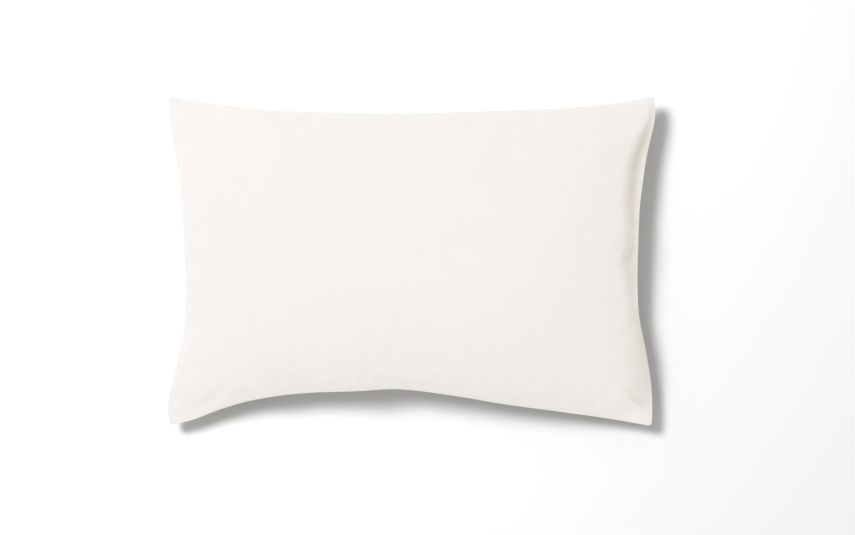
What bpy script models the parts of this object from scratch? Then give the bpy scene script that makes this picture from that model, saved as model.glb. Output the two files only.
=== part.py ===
"""A filled pillowcase, cut 50 x 75 cm, lying on its back.

The case and what fills it are one solid. It is made as a flat case first, in cut
coordinates: u runs along the length and v across it, each from -1 to 1 between the
sewn edges, and side is +1 on the front panel and -1 on the back panel. The open end
is a slit between the two hems. fill() then carries every point to its place.

Frame: metres, +Z up, +X along the length to the open end, +Y across. The origin is
on the surface that the case lies on, under the middle of its bounding box.
"""

import math

import bmesh
import bpy

# Driving sizes, in metres.
LENGTH = 0.728  # between the corners, along X, once filled
WIDTH = 0.492  # between the corners, along Y, once filled
CROWN_HEIGHT = 0.168  # top of the front panel
SEAM_HEIGHT = 0.076  # sewn edge, halfway along a side
SEAM_THICKNESS = 0.003  # two layers of cloth and their turnings
HEM_THICKNESS = 0.005  # both hems and the slit between them
MOUTH_GAP = 0.002  # the slit, between the hems
MOUTH_DEPTH = 0.022  # how far the slit shows before the filling closes it
SIDE_SEAM = 0.014  # the slit ends this far short of each long edge
HEM_BLEND = 0.045  # the hem's extra thickness fades out over this length
EDGE_ROLL = 0.007  # the cloth leaves the other three edges flat for about this far
CORNER_RADIUS = 0.006  # the sewn corners, turned out

# Shape of the crown.
CROWN_POWER = 2.3  # 2 is an ellipse across the case, and more is flatter on top
REST_SHARE = 0.80  # the back is flat where the crown is over this share of its height
EDGE_CROWDING = 0.75  # 0 spaces the grid evenly, and 1 as an ellipse is divided

# The grid of each panel.
COLUMNS = 56
ROWS = 38

COTTON = (0.90, 0.86, 0.84, 1.0)
COTTON_ROUGHNESS = 0.85
SHARP_ANGLE = math.radians(50)

# How far the filling draws each edge in from the straight line between its corners.
# Columns: place along the edge from -1 to 1, metres drawn in.
BACK_EDGE = (  # +Y, from the sewn end to the open end
    (-1.00, 0.001),
    (-0.90, 0.005),
    (-0.80, 0.012),
    (-0.62, 0.020),
    (-0.40, 0.025),
    (0.00, 0.027),
    (0.62, 0.019),
    (0.82, 0.012),
    (1.00, 0.000),
)
FRONT_EDGE = (  # -Y, from the sewn end to the open end
    (-1.00, 0.001),
    (-0.90, 0.010),
    (-0.80, 0.024),
    (-0.66, 0.039),
    (-0.46, 0.050),
    (-0.22, 0.054),
    (-0.05, 0.057),
    (0.18, 0.047),
    (0.37, 0.035),
    (0.62, 0.022),
    (0.81, 0.012),
    (1.00, 0.000),
)
SEWN_END = (  # -X, from -Y to +Y
    (-1.00, 0.003),
    (-0.90, 0.000),
    (-0.80, 0.003),
    (-0.69, 0.010),
    (-0.38, 0.027),
    (0.04, 0.028),
    (0.28, 0.025),
    (0.52, 0.019),
    (0.82, 0.006),
    (1.00, 0.002),
)
OPEN_END = (  # +X, from -Y to +Y
    (-1.00, 0.005),
    (-0.90, 0.004),
    (-0.75, 0.006),
    (-0.57, 0.013),
    (-0.26, 0.027),
    (0.28, 0.026),
    (0.46, 0.021),
    (0.64, 0.014),
    (0.88, 0.001),
    (1.00, 0.003),
)

# How wide the case lies slack past the end of the filling, along the open end.
# Columns: place across from -1 to 1, metres.
SLACK_END = (
    (-1.00, 0.010),
    (-0.75, 0.008),
    (-0.50, 0.006),
    (-0.25, 0.012),
    (0.10, 0.026),
    (0.55, 0.034),
    (0.75, 0.024),
    (0.90, 0.012),
    (1.00, 0.010),
)

# The gutter between the hem and the end of the filling, on the front panel.
# Columns: place across from -1 to 1, metres in from the hem's edge, half width, depth.
GUTTER = (
    (-1.00, 0.004, 0.003, 0.000),
    (-0.60, 0.004, 0.006, 0.000),
    (-0.45, 0.004, 0.006, 0.001),
    (-0.23, 0.009, 0.006, 0.005),
    (0.00, 0.015, 0.009, 0.009),
    (0.22, 0.015, 0.009, 0.011),
    (0.39, 0.017, 0.009, 0.013),
    (0.60, 0.016, 0.010, 0.016),
    (0.76, 0.011, 0.008, 0.014),
    (0.88, 0.006, 0.005, 0.007),
    (1.00, 0.003, 0.003, 0.000),
)

# The flat ears at the corners.
# Columns: u sign, v sign, reach of the ear along the edges, drop of its tip.
EARS = (
    (-1, -1, 0.085, 0.034),
    (-1, 1, 0.055, 0.026),
    (1, -1, 0.100, 0.036),
    (1, 1, 0.060, 0.024),
)

# Main creases of the front panel, soft troughs and ridges that die out at both ends.
# Columns: start x, start y, end x, end y, half width, height (a trough is negative).
CREASES = (
    (0.312, -0.186, 0.366, -0.230, 0.004, -0.007),  # ear at the open end
    (-0.345, -0.242, -0.262, -0.184, 0.011, -0.006),  # ear at the sewn end
    (0.362, 0.222, 0.326, 0.120, 0.007, -0.003),  # from the corner down the slack
    (0.330, 0.070, 0.302, -0.020, 0.005, 0.006),  # fold across the slack
    (0.342, 0.050, 0.304, -0.018, 0.005, -0.008),  # its trough
    (0.344, 0.028, 0.314, -0.036, 0.005, 0.005),  # second fold
    (0.344, 0.006, 0.318, -0.066, 0.005, -0.007),  # its trough
)


def smooth_step(t):
    t = min(max(t, 0.0), 1.0)
    return t * t * (3 - 2 * t)


def follow(rows, at, column=1):
    """The value at a place on a smooth curve through one column of a table's rows."""
    last = len(rows) - 2
    i = next((k for k in range(last) if at < rows[k + 1][0]), last)
    x0, x1 = rows[i][0], rows[i + 1][0]
    y0, y1 = rows[i][column], rows[i + 1][column]

    def slope(k):
        below, above = rows[max(k - 1, 0)], rows[min(k + 1, last + 1)]
        return (above[column] - below[column]) / (above[0] - below[0])

    step = x1 - x0
    t = (at - x0) / step
    start = (1 + 2 * t) * (1 - t) ** 2 * y0 + t * (1 - t) ** 2 * step * slope(i)
    end = t * t * (3 - 2 * t) * y1 + t * t * (t - 1) * step * slope(i + 1)
    return start + end


def round_corner(u, v):
    """Draws the square grid in to a quarter circle at each corner."""
    radius_u, radius_v = CORNER_RADIUS / (LENGTH / 2), CORNER_RADIUS / (WIDTH / 2)
    past_u, past_v = (abs(u) - 1) / radius_u + 1, (abs(v) - 1) / radius_v + 1
    if past_u <= 0 or past_v <= 0:
        return u, v
    drawn_u = past_u * math.sqrt(1 - past_v**2 / 2)
    drawn_v = past_v * math.sqrt(1 - past_u**2 / 2)
    new_u = math.copysign(1 + (drawn_u - 1) * radius_u, u)
    new_v = math.copysign(1 + (drawn_v - 1) * radius_v, v)
    return new_u, new_v


def plan(u, v):
    """Where a point of the flat case lies in plan, once the filling draws the edges in."""
    u, v = round_corner(u, v)
    left = -LENGTH / 2 + follow(SEWN_END, v)
    right = LENGTH / 2 - follow(OPEN_END, v)
    near = -WIDTH / 2 + follow(FRONT_EDGE, u)
    far = WIDTH / 2 - follow(BACK_EDGE, u)
    return left + (right - left) * (u + 1) / 2, near + (far - near) * (v + 1) / 2


def ear_distance(u, v, ear_u, ear_v):
    """How far a point is from a corner, measured along the two edges."""
    return (1 - ear_u * u) * LENGTH / 2 + (1 - ear_v * v) * WIDTH / 2


def seam_height(u, v):
    """Height of the sheet that the sewn edges lie in. It sinks at the corners."""
    height = SEAM_HEIGHT
    for ear_u, ear_v, reach, drop in EARS:
        height -= drop * math.exp(-((ear_distance(u, v, ear_u, ear_v) / (2.4 * reach)) ** 2))
    return height


def fullness(u, v):
    """Share of the crown's height: 0 along the edges and 1 in the middle."""
    dome = math.sqrt((1 - abs(u) ** CROWN_POWER) * (1 - abs(v) ** CROWN_POWER))
    dome *= smooth_step(0.5 + (1 + u) * LENGTH / 4 / EDGE_ROLL)
    dome *= smooth_step((1 - u) * LENGTH / 2 / follow(SLACK_END, v))
    dome *= smooth_step(0.5 + (1 - abs(v)) * WIDTH / 4 / EDGE_ROLL)
    for ear_u, ear_v, reach, _ in EARS:
        dome *= smooth_step(ear_distance(u, v, ear_u, ear_v) / reach)
    return dome


def crease(x, y):
    """Height that the creases add to the front panel."""
    height = 0.0
    for x0, y0, x1, y1, half_width, top in CREASES:
        along_x, along_y = x1 - x0, y1 - y0
        length = math.hypot(along_x, along_y)
        t = ((x - x0) * along_x + (y - y0) * along_y) / length**2
        beside = ((y - y0) * along_x - (x - x0) * along_y) / length
        fade = max(4 * t * (1 - t), 0) ** 2
        height += top * fade * math.exp(-((beside / half_width) ** 2))
    return height


def gutter(u, v, height):
    """Sinks the front panel along the open end, but no lower than the hem."""
    inward = (1 - u) * LENGTH / 2
    middle, half_width, depth = (follow(GUTTER, v, column) for column in (1, 2, 3))
    depth *= math.exp(-(((inward - middle) / half_width) ** 2)) * smooth_step(inward / middle)
    sunk = height - depth
    return (sunk + math.hypot(sunk, 0.35 * depth)) / 2 if depth > 0 else height


def fill(u, v, side):
    """The place of a point of the flat case once it is filled and lies on its back."""
    x, y = plan(u, v)
    seam = seam_height(u, v)
    hem = 1 - smooth_step((1 - u) * LENGTH / 2 / HEM_BLEND)
    half = (SEAM_THICKNESS + (HEM_THICKNESS - SEAM_THICKNESS) * hem) / 2
    if abs(side) < 1:  # the faces of the slit
        return x, y, seam + side * HEM_THICKNESS / 2
    full = fullness(u, v)
    if side > 0:
        edge_share = smooth_step((1 - u) / 0.02)
        top = gutter(u, v, (CROWN_HEIGHT - SEAM_HEIGHT - half) * full)
        return x, y, seam + half + max(top + crease(x, y) * edge_share, 0)
    # The back reaches the surface where the crown is over REST_SHARE, and is flat there.
    down = 1 - (1 - min(full / REST_SHARE, 1)) ** 2
    return x, y, (seam - half) * (1 - down)


def crowd(t):
    """Moves a grid line towards the edges, where the crown curves most."""
    return EDGE_CROWDING * math.sin(t * math.pi / 2) + (1 - EDGE_CROWDING) * t


def flat_case():
    """Both panels, sewn along three edges, with the slit between the hems at u = 1."""
    thin = 0.01  # half the flat case's thickness in cut coordinates
    case = bmesh.new()
    for z in (thin, -thin):
        panel = bmesh.ops.create_grid(case, x_segments=COLUMNS, y_segments=ROWS, size=1)
        for vert in panel["verts"]:
            vert.co = crowd(vert.co.x), crowd(vert.co.y), z
    edges = [edge for edge in case.edges if edge.is_boundary]
    bmesh.ops.bridge_loops(case, edges=edges)

    # The slit: the strip of edge faces at the open end, inset and pushed in.
    mouth_end = 1 - SIDE_SEAM / (WIDTH / 2)
    mouth = [
        face
        for face in case.faces
        if all(vert.co.x > 0.9999 and abs(vert.co.y) < mouth_end for vert in face.verts)
    ]
    lip = thin * (1 - MOUTH_GAP / HEM_THICKNESS)
    bmesh.ops.inset_region(case, faces=mouth, thickness=lip, use_even_offset=True)
    pushed = bmesh.ops.extrude_face_region(case, geom=mouth)
    bmesh.ops.delete(case, geom=mouth, context="FACES_ONLY")
    inner = [item for item in pushed["geom"] if isinstance(item, bmesh.types.BMVert)]
    bmesh.ops.translate(case, verts=inner, vec=(-MOUTH_DEPTH / (LENGTH / 2), 0, 0))
    for vert in case.verts:
        vert.co.z /= thin
    bmesh.ops.recalc_face_normals(case, faces=case.faces)
    return case


def centre(case):
    """Puts the middle of the bounding box over the origin."""
    for axis in (0, 1):
        places = [vert.co[axis] for vert in case.verts]
        middle = (min(places) + max(places)) / 2
        for vert in case.verts:
            vert.co[axis] -= middle


def cotton():
    material = bpy.data.materials.new("cotton")
    material.use_nodes = True
    shader = material.node_tree.nodes["Principled BSDF"]
    shader.inputs["Base Color"].default_value = COTTON
    shader.inputs["Roughness"].default_value = COTTON_ROUGHNESS
    shader.inputs["Metallic"].default_value = 0.0
    return material


def main():
    for old in list(bpy.data.objects):
        bpy.data.objects.remove(old)
    parts = bpy.data.collections.new("Pillowcase")
    bpy.context.scene.collection.children.link(parts)

    case = flat_case()
    for vert in case.verts:
        vert.co = fill(*vert.co)
    centre(case)
    mesh = bpy.data.meshes.new("pillowcase")
    case.to_mesh(mesh)
    case.free()
    mesh.materials.append(cotton())
    mesh.shade_smooth()
    mesh.set_sharp_from_angle(angle=SHARP_ANGLE)
    parts.objects.link(bpy.data.objects.new("pillowcase", mesh))


main()
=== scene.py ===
"""The looks of the filled pillowcase: its cloth, seams, hems and stitches, and the studio.

The case is a fine mesh in the place of the CAD solid. It is made as a flat case first, in
cut coordinates: u runs along the length and v across it, each from -1 to 1 between the sewn
edges, and side is +1 on the front panel and -1 on the back panel. The open end is at u = 1.
"""

import math

import bmesh
import bpy
from mathutils import Matrix, Vector, noise
from mathutils.bvhtree import BVHTree


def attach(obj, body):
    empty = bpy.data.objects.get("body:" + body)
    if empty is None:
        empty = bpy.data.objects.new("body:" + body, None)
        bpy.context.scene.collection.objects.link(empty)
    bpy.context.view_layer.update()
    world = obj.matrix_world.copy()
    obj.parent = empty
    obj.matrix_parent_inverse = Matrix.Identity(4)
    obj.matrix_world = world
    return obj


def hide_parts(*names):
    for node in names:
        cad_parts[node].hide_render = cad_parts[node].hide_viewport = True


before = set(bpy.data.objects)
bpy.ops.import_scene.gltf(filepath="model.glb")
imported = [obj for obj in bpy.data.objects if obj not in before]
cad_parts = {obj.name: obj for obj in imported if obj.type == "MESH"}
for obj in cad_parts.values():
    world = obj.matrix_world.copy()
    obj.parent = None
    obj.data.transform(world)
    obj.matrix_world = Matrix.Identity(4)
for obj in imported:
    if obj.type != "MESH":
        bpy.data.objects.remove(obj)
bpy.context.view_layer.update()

# Sizes of the filled case, in metres.
LENGTH = 0.728
WIDTH = 0.492
CROWN_HEIGHT = 0.168
CUT_LENGTH = 0.75  # the case laid flat, from the sewn end to the hem
CUT_WIDTH = 0.50
SEAM_HEIGHT = 0.076  # sewn edge, halfway along a side
SEAM_THICKNESS = 0.003  # two layers of cloth and their turnings
HEM_THICKNESS = 0.005  # both hems and the slit between them
MOUTH_GAP = 0.002  # the slit, between the hems
MOUTH_DEPTH = 0.022  # how far the slit shows before the filling closes it
SIDE_SEAM = 0.014  # the slit ends this far short of each long edge
HEM_BLEND = 0.045  # the hem's extra thickness fades out over this length
EDGE_ROLL = 0.007  # the cloth leaves the other three edges flat for about this far
CORNER_RADIUS = 0.006  # the sewn corners, turned out
SEAM_GROOVE = 0.0012  # how deep the seam lies between the two rolls of cloth
SEAM_BANDS = 4  # strips of faces between the two panels, round the edge

# Shape of the crown.
CROWN_POWER = 2.3  # 2 is an ellipse across the case, and more is flatter on top
REST_SHARE = 0.80  # the back is flat where the crown is over this share of its height
EDGE_CROWDING = 0.6  # 0 spaces the grid evenly, and 1 as an ellipse is divided

# The grid of each panel, before it is subdivided once.
COLUMNS = 116
ROWS = 80

# Limits that tell the parts of the flat case apart, in cut coordinates.
AT_EDGE = 0.9999  # a point with u or v past this is on an edge
ON_PANEL = 0.99  # a point with side past this is on a panel, and others are in the seam
IN_SEAM = 0.3  # a point with side under this is in the middle of the seam

# How far the filling draws each edge in from the straight line between its corners.
# Columns: place along the edge from -1 to 1, metres drawn in.
BACK_EDGE = (  # +Y, from the sewn end to the open end
    (-1.00, 0.001),
    (-0.90, 0.005),
    (-0.80, 0.012),
    (-0.62, 0.020),
    (-0.40, 0.025),
    (0.00, 0.027),
    (0.62, 0.019),
    (0.82, 0.012),
    (1.00, 0.000),
)
FRONT_EDGE = (  # -Y, from the sewn end to the open end
    (-1.00, 0.001),
    (-0.90, 0.010),
    (-0.80, 0.024),
    (-0.66, 0.039),
    (-0.46, 0.050),
    (-0.22, 0.054),
    (-0.05, 0.057),
    (0.18, 0.047),
    (0.37, 0.035),
    (0.62, 0.022),
    (0.81, 0.012),
    (1.00, 0.000),
)
SEWN_END = (  # -X, from -Y to +Y
    (-1.00, 0.003),
    (-0.90, 0.000),
    (-0.80, 0.003),
    (-0.69, 0.010),
    (-0.38, 0.027),
    (0.04, 0.028),
    (0.28, 0.025),
    (0.52, 0.019),
    (0.82, 0.006),
    (1.00, 0.002),
)
OPEN_END = (  # +X, from -Y to +Y
    (-1.00, 0.005),
    (-0.90, 0.004),
    (-0.75, 0.006),
    (-0.57, 0.013),
    (-0.26, 0.027),
    (0.28, 0.026),
    (0.46, 0.021),
    (0.64, 0.014),
    (0.88, 0.001),
    (1.00, 0.003),
)

# How wide the case lies slack past the end of the filling, along the open end.
# Columns: place across from -1 to 1, metres.
SLACK_END = (
    (-1.00, 0.010),
    (-0.75, 0.008),
    (-0.50, 0.006),
    (-0.25, 0.012),
    (0.10, 0.026),
    (0.55, 0.034),
    (0.75, 0.024),
    (0.90, 0.012),
    (1.00, 0.010),
)

# The gutter between the hem and the end of the filling, on the front panel.
# Columns: place across from -1 to 1, metres in from the hem's edge, half width, depth,
# share of painted shade that darkens the cloth there.
GUTTER = (
    (-1.00, 0.004, 0.003, 0.000, 0.0),
    (-0.85, 0.006, 0.022, 0.000, 0.5),
    (-0.60, 0.004, 0.024, 0.000, 0.8),
    (-0.45, 0.004, 0.016, 0.001, 0.8),
    (-0.23, 0.009, 0.006, 0.005, 0.7),
    (0.00, 0.018, 0.010, 0.009, 0.8),
    (0.22, 0.015, 0.009, 0.011, 0.8),
    (0.39, 0.017, 0.009, 0.013, 0.9),
    (0.60, 0.016, 0.010, 0.016, 1.0),
    (0.76, 0.011, 0.008, 0.014, 1.0),
    (0.88, 0.006, 0.005, 0.007, 0.7),
    (1.00, 0.003, 0.003, 0.000, 0.0),
)
GUTTER_SOFTNESS = 0.35  # how softly its floor meets the hem, as a share of its depth
PAINTED_SHADE_SPREAD = 1.2  # the painted shade spreads this much wider than the gutter

# The flat ears at the corners.
# Columns: u sign, v sign, reach of the ear along the edges, drop of its tip.
EARS = (
    (-1, -1, 0.085, 0.034),
    (-1, 1, 0.055, 0.026),
    (1, -1, 0.100, 0.036),
    (1, 1, 0.060, 0.024),
)
EAR_FADE = 2.4  # the drop fades out over this many reaches

# Main creases of the front panel, soft troughs and ridges that die out at both ends.
# Columns: start x, start y, end x, end y, half width, height (a trough is negative).
CREASES = (
    (0.312, -0.186, 0.366, -0.230, 0.004, -0.010),  # ear at the open end
    (-0.345, -0.242, -0.262, -0.184, 0.011, -0.006),  # ear at the sewn end
    (0.362, 0.222, 0.326, 0.120, 0.007, -0.003),  # from the corner down the slack
    (0.330, 0.070, 0.302, -0.020, 0.005, 0.006),  # fold across the slack
    (0.342, 0.050, 0.304, -0.018, 0.005, -0.008),  # its trough
    (0.344, 0.028, 0.314, -0.036, 0.005, 0.005),  # second fold
    (0.344, 0.006, 0.318, -0.066, 0.005, -0.007),  # its trough
)
CREASE_START = 0.02  # the creases fade in over this share of the half length at the hem

# The hems: each panel's cloth is turned under twice at the open end, and sewn down with one
# row of stitches.
HEM_WIDTH = 0.013
HEM_STEP = 0.0005  # the two turnings stand this proud of the single cloth
STITCH_DENT = 0.0006  # how far the row pulls the cloth in
STITCH_DENT_WIDTH = 0.0020  # the dent fades out over this length on each side of the row
STITCH_PITCH = 0.0030
STITCH_LENGTH = 0.0025
STITCH_RADIUS = 0.00024

# The filling is a little uneven under the cloth.
LUMP_HEIGHT = 0.0016
LUMP_SIZE = 0.085
LUMP_SLICE = 0.37  # where the solid noise is cut through for the lumps
SPARE_SLICE = 0.61  # and for the spare length

# Beside the sewn edges the cloth has length to spare, which puckers.
SPARE_SHARE = 0.035  # most spare length, as a share of the cloth's own
SPARE_REACH = 0.038  # it dies out over this length in from the edge
SPARE_MEAN = 0.75  # its mean share of the most, along an edge
SPARE_SPREAD = 0.9  # how much it varies about the mean
EAR_REACH = 0.100  # the cloth is tighter within this distance of a corner
EAR_TIGHTNESS = 0.8  # share of the spare length that is missing at the corner

# How the cloth settles. A hold is from 0, free, to 1, fixed.
LEAST_HOLD = 0.02  # beside the edges
MIDDLE_HOLD = 0.40  # what the filling adds in the middle of a panel
MIDDLE_REACH = 0.050  # metres in from the edge until the middle's hold is near full
SETTLE_STEPS = 20
MOST_MOVE = 0.0024  # no point moves further than this
SEAM_REACH = 0.010  # the puckers fade out over this length at the seams and hems
SLIT_REACH = 0.028  # neither panel moves towards the slit within this length of the hem

# The cloth. The warp runs across the case, and the weft along it.
THREAD_PITCH = 0.00035
WEAVE_HEIGHT = 0.00008
WARP_SLUBS = (900, 25, 1)  # noise cells in a metre, along X, Y and Z
WEFT_SLUBS = (25, 900, 1)
SLUB_HEIGHT = 0.00010
SLUB_TONE = 0.3  # how much the slubs add to the lighter tone
SLUB_ROUGHNESS = 0.06
RUMPLE_CELLS = (45, 60, 1)
RUMPLE_HEIGHT = 0.0011
TONE_CELLS = (9, 9, 1)
PATCH_TONE = 0.4  # how much the broad patches add to the lighter tone
COTTON_DARK = (0.827, 0.803, 0.766, 1)
COTTON_LIGHT = (0.873, 0.85, 0.822, 1)
# painted shade: the darker, yellower colour mixed in along the gutter
COTTON_PAINTED_SHADE = (0.73, 0.695, 0.63, 1)
COTTON_ROUGHNESS = 0.80

# The sewing thread.
TWIST_CELLS = (2500, 2500, 2500)
TWIST_HEIGHT = 0.0001
THREAD_DARK = (0.84, 0.82, 0.79, 1)
THREAD_LIGHT = (0.90, 0.885, 0.86, 1)

# The studio, in metres and watts.
FLOOR_SIZE = 40
FLOOR_GREY = (0.42, 0.42, 0.42, 1)
SKY_COLOUR = (1.0, 0.99, 0.965, 1)
SKY_STRENGTH = 0.985
LAMP_SIZE = 0.9
LAMP_DISTANCE = 3.2
LAMP_DIRECTION = (-1.0, 0.8, 2.4)
LAMP_TARGET = (0, 0, 0.05)
KEY_ENERGY = 19
KEY_COLOUR = (0.80, 0.76, 1.0)
FLOOR_KEY_ENERGY = 175
FLOOR_KEY_COLOUR = (1.0, 1.0, 1.0)
CAMERA_PLACE = (0.0244, -0.0089, 3.07)
LENS = 85.35  # focal length, in millimetres


def smooth_step(t):
    """0 below 0, 1 above 1, and a soft rise between."""
    t = min(max(t, 0.0), 1.0)
    return t * t * (3 - 2 * t)


def follow(rows, at, column=1):
    """The value at a place on a smooth curve through one column of a table's rows."""
    last = len(rows) - 2
    i = next((k for k in range(last) if at < rows[k + 1][0]), last)
    x0, x1 = rows[i][0], rows[i + 1][0]
    y0, y1 = rows[i][column], rows[i + 1][column]

    def slope(k):
        below, above = rows[max(k - 1, 0)], rows[min(k + 1, last + 1)]
        return (above[column] - below[column]) / (above[0] - below[0])

    step = x1 - x0
    t = (at - x0) / step
    start = (1 + 2 * t) * (1 - t) ** 2 * y0 + t * (1 - t) ** 2 * step * slope(i)
    end = t * t * (3 - 2 * t) * y1 + t * t * (t - 1) * step * slope(i + 1)
    return start + end


def round_corner(u, v):
    """Draws the square grid in to a quarter circle at each corner."""
    radius_u, radius_v = CORNER_RADIUS / (LENGTH / 2), CORNER_RADIUS / (WIDTH / 2)
    past_u, past_v = (abs(u) - 1) / radius_u + 1, (abs(v) - 1) / radius_v + 1
    if past_u <= 0 or past_v <= 0:
        return u, v
    drawn_u = past_u * math.sqrt(1 - past_v**2 / 2)
    drawn_v = past_v * math.sqrt(1 - past_u**2 / 2)
    new_u = math.copysign(1 + (drawn_u - 1) * radius_u, u)
    new_v = math.copysign(1 + (drawn_v - 1) * radius_v, v)
    return new_u, new_v


def plan(u, v):
    """Where a point of the flat case lies in plan, once the filling draws the edges in."""
    u, v = round_corner(u, v)
    left = -LENGTH / 2 + follow(SEWN_END, v)
    right = LENGTH / 2 - follow(OPEN_END, v)
    near = -WIDTH / 2 + follow(FRONT_EDGE, u)
    far = WIDTH / 2 - follow(BACK_EDGE, u)
    return left + (right - left) * (u + 1) / 2, near + (far - near) * (v + 1) / 2


def ear_distance(u, v, ear_u, ear_v):
    """How far a point is from a corner, measured along the two edges."""
    return (1 - ear_u * u) * LENGTH / 2 + (1 - ear_v * v) * WIDTH / 2


def seam_height(u, v):
    """Height of the sheet that the sewn edges lie in. It sinks at the corners."""
    height = SEAM_HEIGHT
    for ear_u, ear_v, reach, drop in EARS:
        away = ear_distance(u, v, ear_u, ear_v) / (EAR_FADE * reach)
        height -= drop * math.exp(-(away**2))
    return height


def fullness(u, v):
    """Share of the crown's height: 0 along the edges and 1 in the middle."""
    dome = math.sqrt((1 - abs(u) ** CROWN_POWER) * (1 - abs(v) ** CROWN_POWER))
    dome *= smooth_step(0.5 + (1 + u) * LENGTH / 4 / EDGE_ROLL)
    dome *= smooth_step((1 - u) * LENGTH / 2 / follow(SLACK_END, v))
    dome *= smooth_step(0.5 + (1 - abs(v)) * WIDTH / 4 / EDGE_ROLL)
    for ear_u, ear_v, reach, _ in EARS:
        dome *= smooth_step(ear_distance(u, v, ear_u, ear_v) / reach)
    return dome


def crease(x, y):
    """Height that the creases add to the front panel."""
    height = 0.0
    for x0, y0, x1, y1, half_width, top in CREASES:
        along_x, along_y = x1 - x0, y1 - y0
        length = math.hypot(along_x, along_y)
        t = ((x - x0) * along_x + (y - y0) * along_y) / length**2
        beside = ((y - y0) * along_x - (x - x0) * along_y) / length
        fade = max(4 * t * (1 - t), 0) ** 2
        height += top * fade * math.exp(-((beside / half_width) ** 2))
    return height


def gutter(u, v, height):
    """Sinks the front panel along the open end, but no lower than the hem."""
    inward = (1 - u) * LENGTH / 2
    middle, half_width, depth = (follow(GUTTER, v, column) for column in (1, 2, 3))
    depth *= math.exp(-(((inward - middle) / half_width) ** 2)) * smooth_step(inward / middle)
    sunk = height - depth
    return (sunk + math.hypot(sunk, GUTTER_SOFTNESS * depth)) / 2 if depth > 0 else height


def unfilled(u, v, side):
    """Share of painted shade at a point of the front panel, strongest along the gutter."""
    if side < 0.5:
        return 0.0
    inward = (1 - u) * LENGTH / 2
    middle, half_width, share = (follow(GUTTER, v, column) for column in (1, 2, 4))
    beside = (inward - middle) / (PAINTED_SHADE_SPREAD * half_width)
    return max(share * math.exp(-(beside**2)), 0)


def lump(x, y):
    """Height that the uneven filling adds to the front panel."""
    place = Vector((x, y, LUMP_SLICE)) / LUMP_SIZE
    return LUMP_HEIGHT * (noise.noise(place) - abs(noise.noise(2 * place)) / 2)


def hem_line(u):
    """Height that the hem adds: its turnings, and the dent that its stitches pull."""
    inward = (1 - u) * LENGTH / 2
    step = HEM_STEP * (1 - smooth_step((inward - HEM_WIDTH) / STITCH_DENT_WIDTH))
    dent = STITCH_DENT * math.exp(-(((inward - HEM_WIDTH) / STITCH_DENT_WIDTH) ** 2))
    return step * smooth_step(inward / HEM_WIDTH * 2) - dent


def fill(u, v, side):
    """The place of a point of the flat case once it is filled and lies on its back."""
    x, y = plan(u, v)
    seam = seam_height(u, v)
    hem = 1 - smooth_step((1 - u) * LENGTH / 2 / HEM_BLEND)
    half = (SEAM_THICKNESS + (HEM_THICKNESS - SEAM_THICKNESS) * hem) / 2
    if abs(side) < 1:  # the seam between the panels, and the faces of the slit
        return x, y, seam + side * half
    full = fullness(u, v)
    line = hem_line(u)
    if side > 0:
        edge_share = smooth_step((1 - u) / CREASE_START)
        top = gutter(u, v, (CROWN_HEIGHT - SEAM_HEIGHT - half) * full)
        top += crease(x, y) * edge_share + lump(x, y) * full + line
        return x, y, seam + half + max(top, -STITCH_DENT)
    # The back reaches the surface where the crown is over REST_SHARE, and is flat there.
    down = 1 - (1 - min(full / REST_SHARE, 1)) ** 2
    return x, y, max((seam - half) * (1 - down) - line * (1 - down), 0)


def crowd(t):
    """Moves a grid line towards the edges, where the crown curves most."""
    return EDGE_CROWDING * math.sin(t * math.pi / 2) + (1 - EDGE_CROWDING) * t


def at_mouth(place):
    """Whether a point of the flat case is on the hem's edge, between the two side seams."""
    return place[0] > AT_EDGE and abs(place[1]) < 1 - SIDE_SEAM / (WIDTH / 2)


def flat_case():
    """Both panels, sewn along three edges, with the slit between the hems at u = 1."""
    thin = 0.01  # half the flat case's thickness in cut coordinates
    case = bmesh.new()
    sharpness = case.edges.layers.float.new("crease_edge")
    for z in (thin, -thin):
        panel = bmesh.ops.create_grid(case, x_segments=COLUMNS, y_segments=ROWS, size=1)
        for vert in panel["verts"]:
            vert.co = crowd(vert.co.x), crowd(vert.co.y), z
    edges = [edge for edge in case.edges if edge.is_boundary]
    bmesh.ops.bridge_loops(case, edges=edges)
    across = [edge for edge in case.edges if abs(edge.verts[0].co.z - edge.verts[1].co.z) > thin]
    cuts = SEAM_BANDS - 1
    bmesh.ops.subdivide_edgering(case, edges=across, cuts=cuts, profile_shape="LINEAR")

    # The slit: the two middle bands of the seam at the open end, pushed in between the hems.
    band = 2 * thin / SEAM_BANDS
    limit = 1.5 * band  # halfway through the next band
    mouth = [
        face
        for face in case.faces
        if all(at_mouth(vert.co) and abs(vert.co.z) < limit for vert in face.verts)
    ]
    for vert in {vert for face in mouth for vert in face.verts}:
        vert.co.z *= MOUTH_GAP / HEM_THICKNESS * thin / band
    for edge in {edge for face in mouth for edge in face.edges}:
        if not set(edge.link_faces) <= set(mouth):  # the lips of the hems stay sharp
            edge[sharpness] = 1
            edge.smooth = False
    pushed = bmesh.ops.extrude_face_region(case, geom=mouth)
    bmesh.ops.delete(case, geom=mouth, context="FACES_ONLY")
    inner = [item for item in pushed["geom"] if isinstance(item, bmesh.types.BMVert)]
    bmesh.ops.translate(case, verts=inner, vec=(-MOUTH_DEPTH / (LENGTH / 2), 0, 0))
    for vert in case.verts:
        vert.co.z /= thin
    bmesh.ops.recalc_face_normals(case, faces=case.faces)
    return case


def groove(u, v, side):
    """Pulls the seam in between the two rolls of cloth at the sewn edges."""
    if abs(side) > IN_SEAM or at_mouth((u, v)):
        return u, v
    new_u = u * (1 - SEAM_GROOVE / (LENGTH / 2)) if abs(u) > AT_EDGE else u
    new_v = v * (1 - SEAM_GROOVE / (WIDTH / 2)) if abs(v) > AT_EDGE else v
    return new_u, new_v


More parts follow.
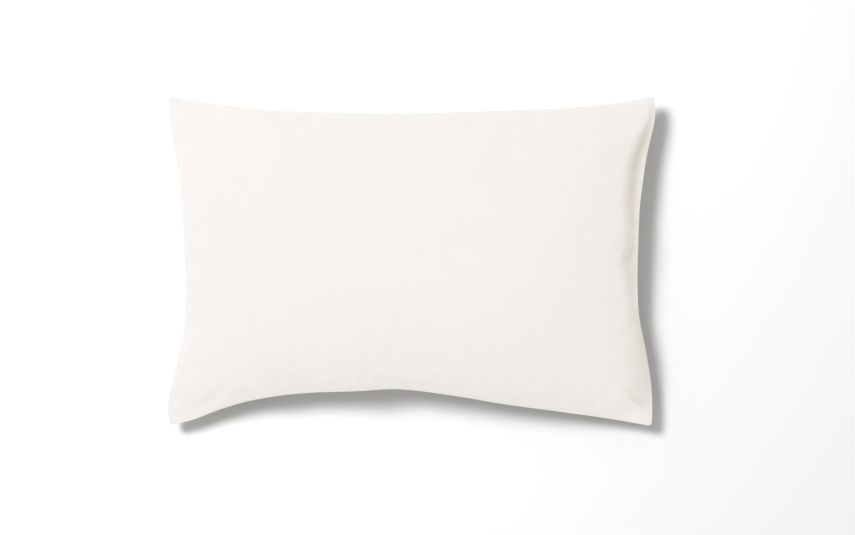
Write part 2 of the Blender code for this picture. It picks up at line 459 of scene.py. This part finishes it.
def centre(case):
    """Puts the middle of the bounding box over the origin."""
    for axis in (0, 1):
        places = [vert.co[axis] for vert in case.verts]
        middle = (min(places) + max(places)) / 2
        for vert in case.verts:
            vert.co[axis] -= middle


def make_case(material):
    """The whole case: filled, settled, subdivided once and laid out."""
    case = flat_case()
    cut = case.verts.layers.float_vector.new("cut")
    for vert in case.verts:
        u, v, side = vert.co
        vert[cut] = (u, v, side)
        u, v = groove(u, v, side)
        vert.co = fill(u, v, side)
    centre(case)
    mesh = bpy.data.meshes.new("case")
    case.to_mesh(mesh)
    case.free()
    mesh.materials.append(material)
    mesh.shade_smooth()
    piece = bpy.data.objects.new("case", mesh)
    bpy.context.scene.collection.objects.link(piece)
    settle(piece)
    finer = piece.modifiers.new("finer", "SUBSURF")
    finer.levels = finer.render_levels = 1
    piece.data = evaluated_mesh(piece)
    piece.modifiers.clear()
    lay_out(piece.data)
    return piece


def evaluated_mesh(piece):
    """A copy of the piece's mesh as its modifiers leave it."""
    depsgraph = bpy.context.evaluated_depsgraph_get()
    return bpy.data.meshes.new_from_object(piece.evaluated_get(depsgraph))


def edge_distance(u, v):
    """Metres from the nearest sewn or hemmed edge."""
    return min((1 - abs(u)) * LENGTH / 2, (1 - abs(v)) * WIDTH / 2)


def spare(u, v):
    """Share of the spare length that the cloth has at a point, from 0 to 1."""
    beside = math.exp(-((edge_distance(u, v) / SPARE_REACH) ** 2))
    to_corner = (1 - abs(u)) * LENGTH / 2 + (1 - abs(v)) * WIDTH / 2
    ear = math.exp(-((to_corner / EAR_REACH) ** 2))
    place = Vector((u * LENGTH, v * WIDTH, SPARE_SLICE)) / LUMP_SIZE
    uneven = SPARE_MEAN + SPARE_SPREAD * noise.noise(place)
    return min(max(beside * (1 - EAR_TIGHTNESS * ear) * uneven, 0), 1)


def hold(u, v, side, height):
    """How firmly a point keeps its place. The seams, the slit and the flat back are fixed."""
    flat_back = side < 0 and height < SEAM_THICKNESS
    if flat_back or abs(side) < ON_PANEL:
        return 1.0
    middle = 1 - math.exp(-((edge_distance(u, v) / MIDDLE_REACH) ** 2))
    return MIDDLE_HOLD * middle + LEAST_HOLD


def settle(piece):
    """Lets the spare cloth beside the seams pucker, as a short cloth simulation."""
    verts = piece.data.vertices
    cuts = [item.vector.copy() for item in piece.data.attributes["cut"].data]
    held = piece.vertex_groups.new(name="held")
    tight = piece.vertex_groups.new(name="tight")
    for vert, (u, v, side) in zip(verts, cuts):
        held.add([vert.index], hold(u, v, side, vert.co.z), "REPLACE")
        tight.add([vert.index], 1 - spare(u, v), "REPLACE")

    modifier = piece.modifiers.new("settle", "CLOTH")
    cloth = modifier.settings
    cloth.quality = 6
    cloth.mass = 0.1
    cloth.tension_stiffness = 15
    cloth.compression_stiffness = 15
    cloth.shear_stiffness = 5
    cloth.bending_stiffness = 0.5
    cloth.vertex_group_mass = held.name
    cloth.vertex_group_shrink = tight.name
    cloth.shrink_min = -SPARE_SHARE
    cloth.shrink_max = 0
    cloth.use_pressure = True
    cloth.uniform_pressure_force = 0.5
    cloth.effector_weights.gravity = 0
    modifier.collision_settings.use_collision = False
    modifier.point_cache.frame_start = 1
    modifier.point_cache.frame_end = SETTLE_STEPS
    for step in range(1, SETTLE_STEPS + 1):
        bpy.context.scene.frame_set(step)
    settled = evaluated_mesh(piece)
    piece.modifiers.clear()
    piece.vertex_groups.clear()
    for vert, (u, v, side), moved in zip(verts, cuts, settled.vertices):
        move = moved.co - vert.co
        if abs(side) < ON_PANEL or not move.length:
            continue
        move *= MOST_MOVE * math.tanh(move.length / MOST_MOVE) / move.length
        move *= smooth_step(edge_distance(u, v) / SEAM_REACH)
        if (1 - u) * LENGTH / 2 < SLIT_REACH:
            move.z = max(move.z * side, 0) * side
        vert.co += move
        vert.co.z = max(vert.co.z, 0)
    bpy.data.meshes.remove(settled)
    bpy.context.scene.frame_set(1)


def lay_out(mesh):
    """Adds the UV map, and each point's share of painted shade for the cloth's colour.

    The UV map is the flat case in metres, so that the weave keeps its true size.
    """
    mesh.uv_layers.new(name="flat case")
    mesh.attributes.new("unfilled", "FLOAT", "POINT")
    cut = [item.vector.copy() for item in mesh.attributes["cut"].data]
    for loop, place in zip(mesh.loops, mesh.uv_layers["flat case"].data):
        u, v, _ = cut[loop.vertex_index]
        place.uv = (u * CUT_LENGTH / 2, v * CUT_WIDTH / 2)
    for (u, v, side), share in zip(cut, mesh.attributes["unfilled"].data):
        share.value = unfilled(u, v, side)


def on_panel(surface, u, v, side):
    """The place and normal of a panel at a point, from above or below."""
    x, y, _ = fill(u, v, side)
    return surface.ray_cast(Vector((x, y, side)), Vector((0, 0, -side)))[:2]


def make_stitches(case, material):
    """One row along each hem, from seam to seam."""
    surface = BVHTree.FromObject(case, bpy.context.evaluated_depsgraph_get())
    u = 1 - HEM_WIDTH / (LENGTH / 2)
    reach = 1 - SIDE_SEAM / (WIDTH / 2)
    count = int(reach * CUT_WIDTH / STITCH_PITCH)
    half = reach * STITCH_LENGTH / STITCH_PITCH / count
    rows = bmesh.new()
    for side in (1, -1):
        for i in range(count):
            v = reach * ((2 * i + 1) / count - 1)
            start, _ = on_panel(surface, u, v - half, side)
            end, _ = on_panel(surface, u, v + half, side)
            middle, normal = on_panel(surface, u, v, side)
            along = (end - start).normalized()
            turn = Matrix((along, normal.cross(along), normal)).transposed().to_4x4()
            size = Matrix.Diagonal(((end - start).length / 2, STITCH_RADIUS, STITCH_RADIUS, 1))
            place = Matrix.Translation(middle) @ turn @ size
            bmesh.ops.create_uvsphere(rows, u_segments=6, v_segments=6, radius=1, matrix=place)
    mesh = bpy.data.meshes.new("hem_stitches")
    rows.to_mesh(mesh)
    rows.free()
    mesh.materials.append(material)
    mesh.shade_smooth()
    piece = bpy.data.objects.new("hem_stitches", mesh)
    bpy.context.scene.collection.objects.link(piece)
    return piece


class Nodes:
    """Adds and links the nodes of one material."""

    def __init__(self, name):
        self.material = bpy.data.materials.new(name)
        self.material.use_nodes = True
        self.tree = self.material.node_tree
        self.shader = self.tree.nodes["Principled BSDF"]

    def link(self, value, socket):
        if isinstance(value, bpy.types.NodeSocket):
            self.tree.links.new(value, socket)
        else:
            socket.default_value = value

    def math(self, operation, *values):
        node = self.tree.nodes.new("ShaderNodeMath")
        node.operation = operation
        for value, socket in zip(values, node.inputs):
            self.link(value, socket)
        return node.outputs[0]

    def stretch(self, vector, scale):
        node = self.tree.nodes.new("ShaderNodeVectorMath")
        node.operation = "MULTIPLY"
        self.link(vector, node.inputs[0])
        node.inputs[1].default_value = scale
        return node.outputs[0]

    def noise(self, vector, detail=2.0):
        node = self.tree.nodes.new("ShaderNodeTexNoise")
        node.inputs["Scale"].default_value = 1
        node.inputs["Detail"].default_value = detail
        self.link(vector, node.inputs["Vector"])
        return node.outputs["Fac"]

    def bump(self, height, distance, strength, normal=None):
        node = self.tree.nodes.new("ShaderNodeBump")
        node.inputs["Distance"].default_value = distance
        node.inputs["Strength"].default_value = strength
        self.link(height, node.inputs["Height"])
        if normal is not None:
            self.link(normal, node.inputs["Normal"])
        return node.outputs["Normal"]

    def mix(self, share, first, second):
        node = self.tree.nodes.new("ShaderNodeMix")
        node.data_type = "RGBA"
        self.link(share, node.inputs["Factor"])
        self.link(first, node.inputs[6])
        self.link(second, node.inputs[7])
        return node.outputs[2]


def cotton():
    """Plain-weave cotton: threads, slubs, soft creasing and a faint unevenness of colour."""
    nodes = Nodes("cotton cloth")
    flat = nodes.tree.nodes.new("ShaderNodeUVMap")
    flat.uv_map = "flat case"
    flat = flat.outputs["UV"]
    split = nodes.tree.nodes.new("ShaderNodeSeparateXYZ")
    nodes.link(flat, split.inputs[0])

    # Each crossing is a raised bump where one thread passes over the other.
    turn = math.pi / THREAD_PITCH
    warp = nodes.math("SINE", nodes.math("MULTIPLY", split.outputs["X"], turn))
    weft = nodes.math("SINE", nodes.math("MULTIPLY", split.outputs["Y"], turn))
    weave = nodes.math("MULTIPLY", warp, weft)

    # Slubs are the thicker stretches of a thread, and show as long streaks each way.
    slub_warp = nodes.noise(nodes.stretch(flat, WARP_SLUBS))
    slub_weft = nodes.noise(nodes.stretch(flat, WEFT_SLUBS))
    slubs = nodes.math("ADD", slub_warp, slub_weft)
    rumple = nodes.noise(nodes.stretch(flat, RUMPLE_CELLS), detail=3.0)
    tone = nodes.noise(nodes.stretch(flat, TONE_CELLS))

    normal = nodes.bump(rumple, RUMPLE_HEIGHT, strength=0.6)
    normal = nodes.bump(slubs, SLUB_HEIGHT, strength=0.4, normal=normal)
    normal = nodes.bump(weave, WEAVE_HEIGHT, strength=0.6, normal=normal)
    nodes.link(normal, nodes.shader.inputs["Normal"])

    slub_share = nodes.math("MULTIPLY", slubs, SLUB_TONE)
    tone_share = nodes.math("MULTIPLY", tone, PATCH_TONE)
    share = nodes.math("ADD", slub_share, tone_share)
    colour = nodes.mix(share, COTTON_DARK, COTTON_LIGHT)
    # Painted shade: a darker, yellower colour is mixed in along the gutter, where shade falls.
    painted_shade_node = nodes.tree.nodes.new("ShaderNodeAttribute")
    painted_shade_node.attribute_name = "unfilled"
    colour = nodes.mix(painted_shade_node.outputs["Fac"], colour, COTTON_PAINTED_SHADE)
    nodes.link(colour, nodes.shader.inputs["Base Color"])
    roughness = nodes.math("MULTIPLY_ADD", slubs, SLUB_ROUGHNESS, COTTON_ROUGHNESS)
    nodes.link(roughness, nodes.shader.inputs["Roughness"])
    nodes.shader.inputs["Specular IOR Level"].default_value = 0.3
    nodes.shader.inputs["Sheen Weight"].default_value = 0.12
    nodes.shader.inputs["Sheen Roughness"].default_value = 0.5
    return nodes.material


def thread():
    """The sewing thread, twisted, and a little glossier than the cloth."""
    nodes = Nodes("sewing thread")
    place = nodes.tree.nodes.new("ShaderNodeTexCoord").outputs["Object"]
    twist = nodes.noise(nodes.stretch(place, TWIST_CELLS))
    normal = nodes.bump(twist, TWIST_HEIGHT, strength=0.5)
    nodes.link(normal, nodes.shader.inputs["Normal"])
    colour = nodes.mix(twist, THREAD_DARK, THREAD_LIGHT)
    nodes.link(colour, nodes.shader.inputs["Base Color"])
    nodes.shader.inputs["Roughness"].default_value = 0.6
    nodes.shader.inputs["Sheen Weight"].default_value = 0.1
    return nodes.material


def add_floor():
    bpy.ops.mesh.primitive_plane_add(size=FLOOR_SIZE)
    floor = bpy.context.object
    floor.name = "floor"
    paper = bpy.data.materials.new("white paper")
    paper.use_nodes = True
    shader = paper.node_tree.nodes["Principled BSDF"]
    shader.inputs["Base Color"].default_value = FLOOR_GREY
    shader.inputs["Roughness"].default_value = 0.9
    floor.data.materials.append(paper)
    return floor


def add_lamp(name, energy, colour):
    """A soft box above the sewn end's far corner."""
    lamp = bpy.data.lights.new(name, "AREA")
    lamp.size = LAMP_SIZE
    lamp.energy = energy
    lamp.color = colour
    key = bpy.data.objects.new(name, lamp)
    key.location = Vector(LAMP_DIRECTION).normalized() * LAMP_DISTANCE
    aim = Vector(LAMP_TARGET) - key.location
    key.rotation_euler = aim.to_track_quat("-Z", "Y").to_euler()
    key.visible_camera = False
    bpy.context.scene.collection.objects.link(key)
    return key


def add_light(floor):
    world = bpy.data.worlds.new("studio")
    world.use_nodes = True
    background = world.node_tree.nodes["Background"]
    background.inputs["Color"].default_value = SKY_COLOUR
    background.inputs["Strength"].default_value = SKY_STRENGTH
    bpy.context.scene.world = world

    add_lamp("key", KEY_ENERGY, KEY_COLOUR)
    # A second lamp in the same place lights the floor alone, so that its shadow reads.
    floor_key = add_lamp("floor key", FLOOR_KEY_ENERGY, FLOOR_KEY_COLOUR)
    lit = bpy.data.collections.new("lit by the floor key")
    lit.objects.link(floor)
    floor_key.light_linking.receiver_collection = lit


def add_camera():
    lens = bpy.data.cameras.new("camera")
    lens.lens = LENS
    camera = bpy.data.objects.new("camera", lens)
    camera.location = CAMERA_PLACE
    bpy.context.scene.collection.objects.link(camera)
    bpy.context.scene.camera = camera
    bpy.context.scene.view_settings.view_transform = "Standard"


case = make_case(cotton())
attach(case, "root")
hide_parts("pillowcase")

hem_stitches = make_stitches(case, thread())
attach(hem_stitches, "root")

add_light(add_floor())
add_camera()
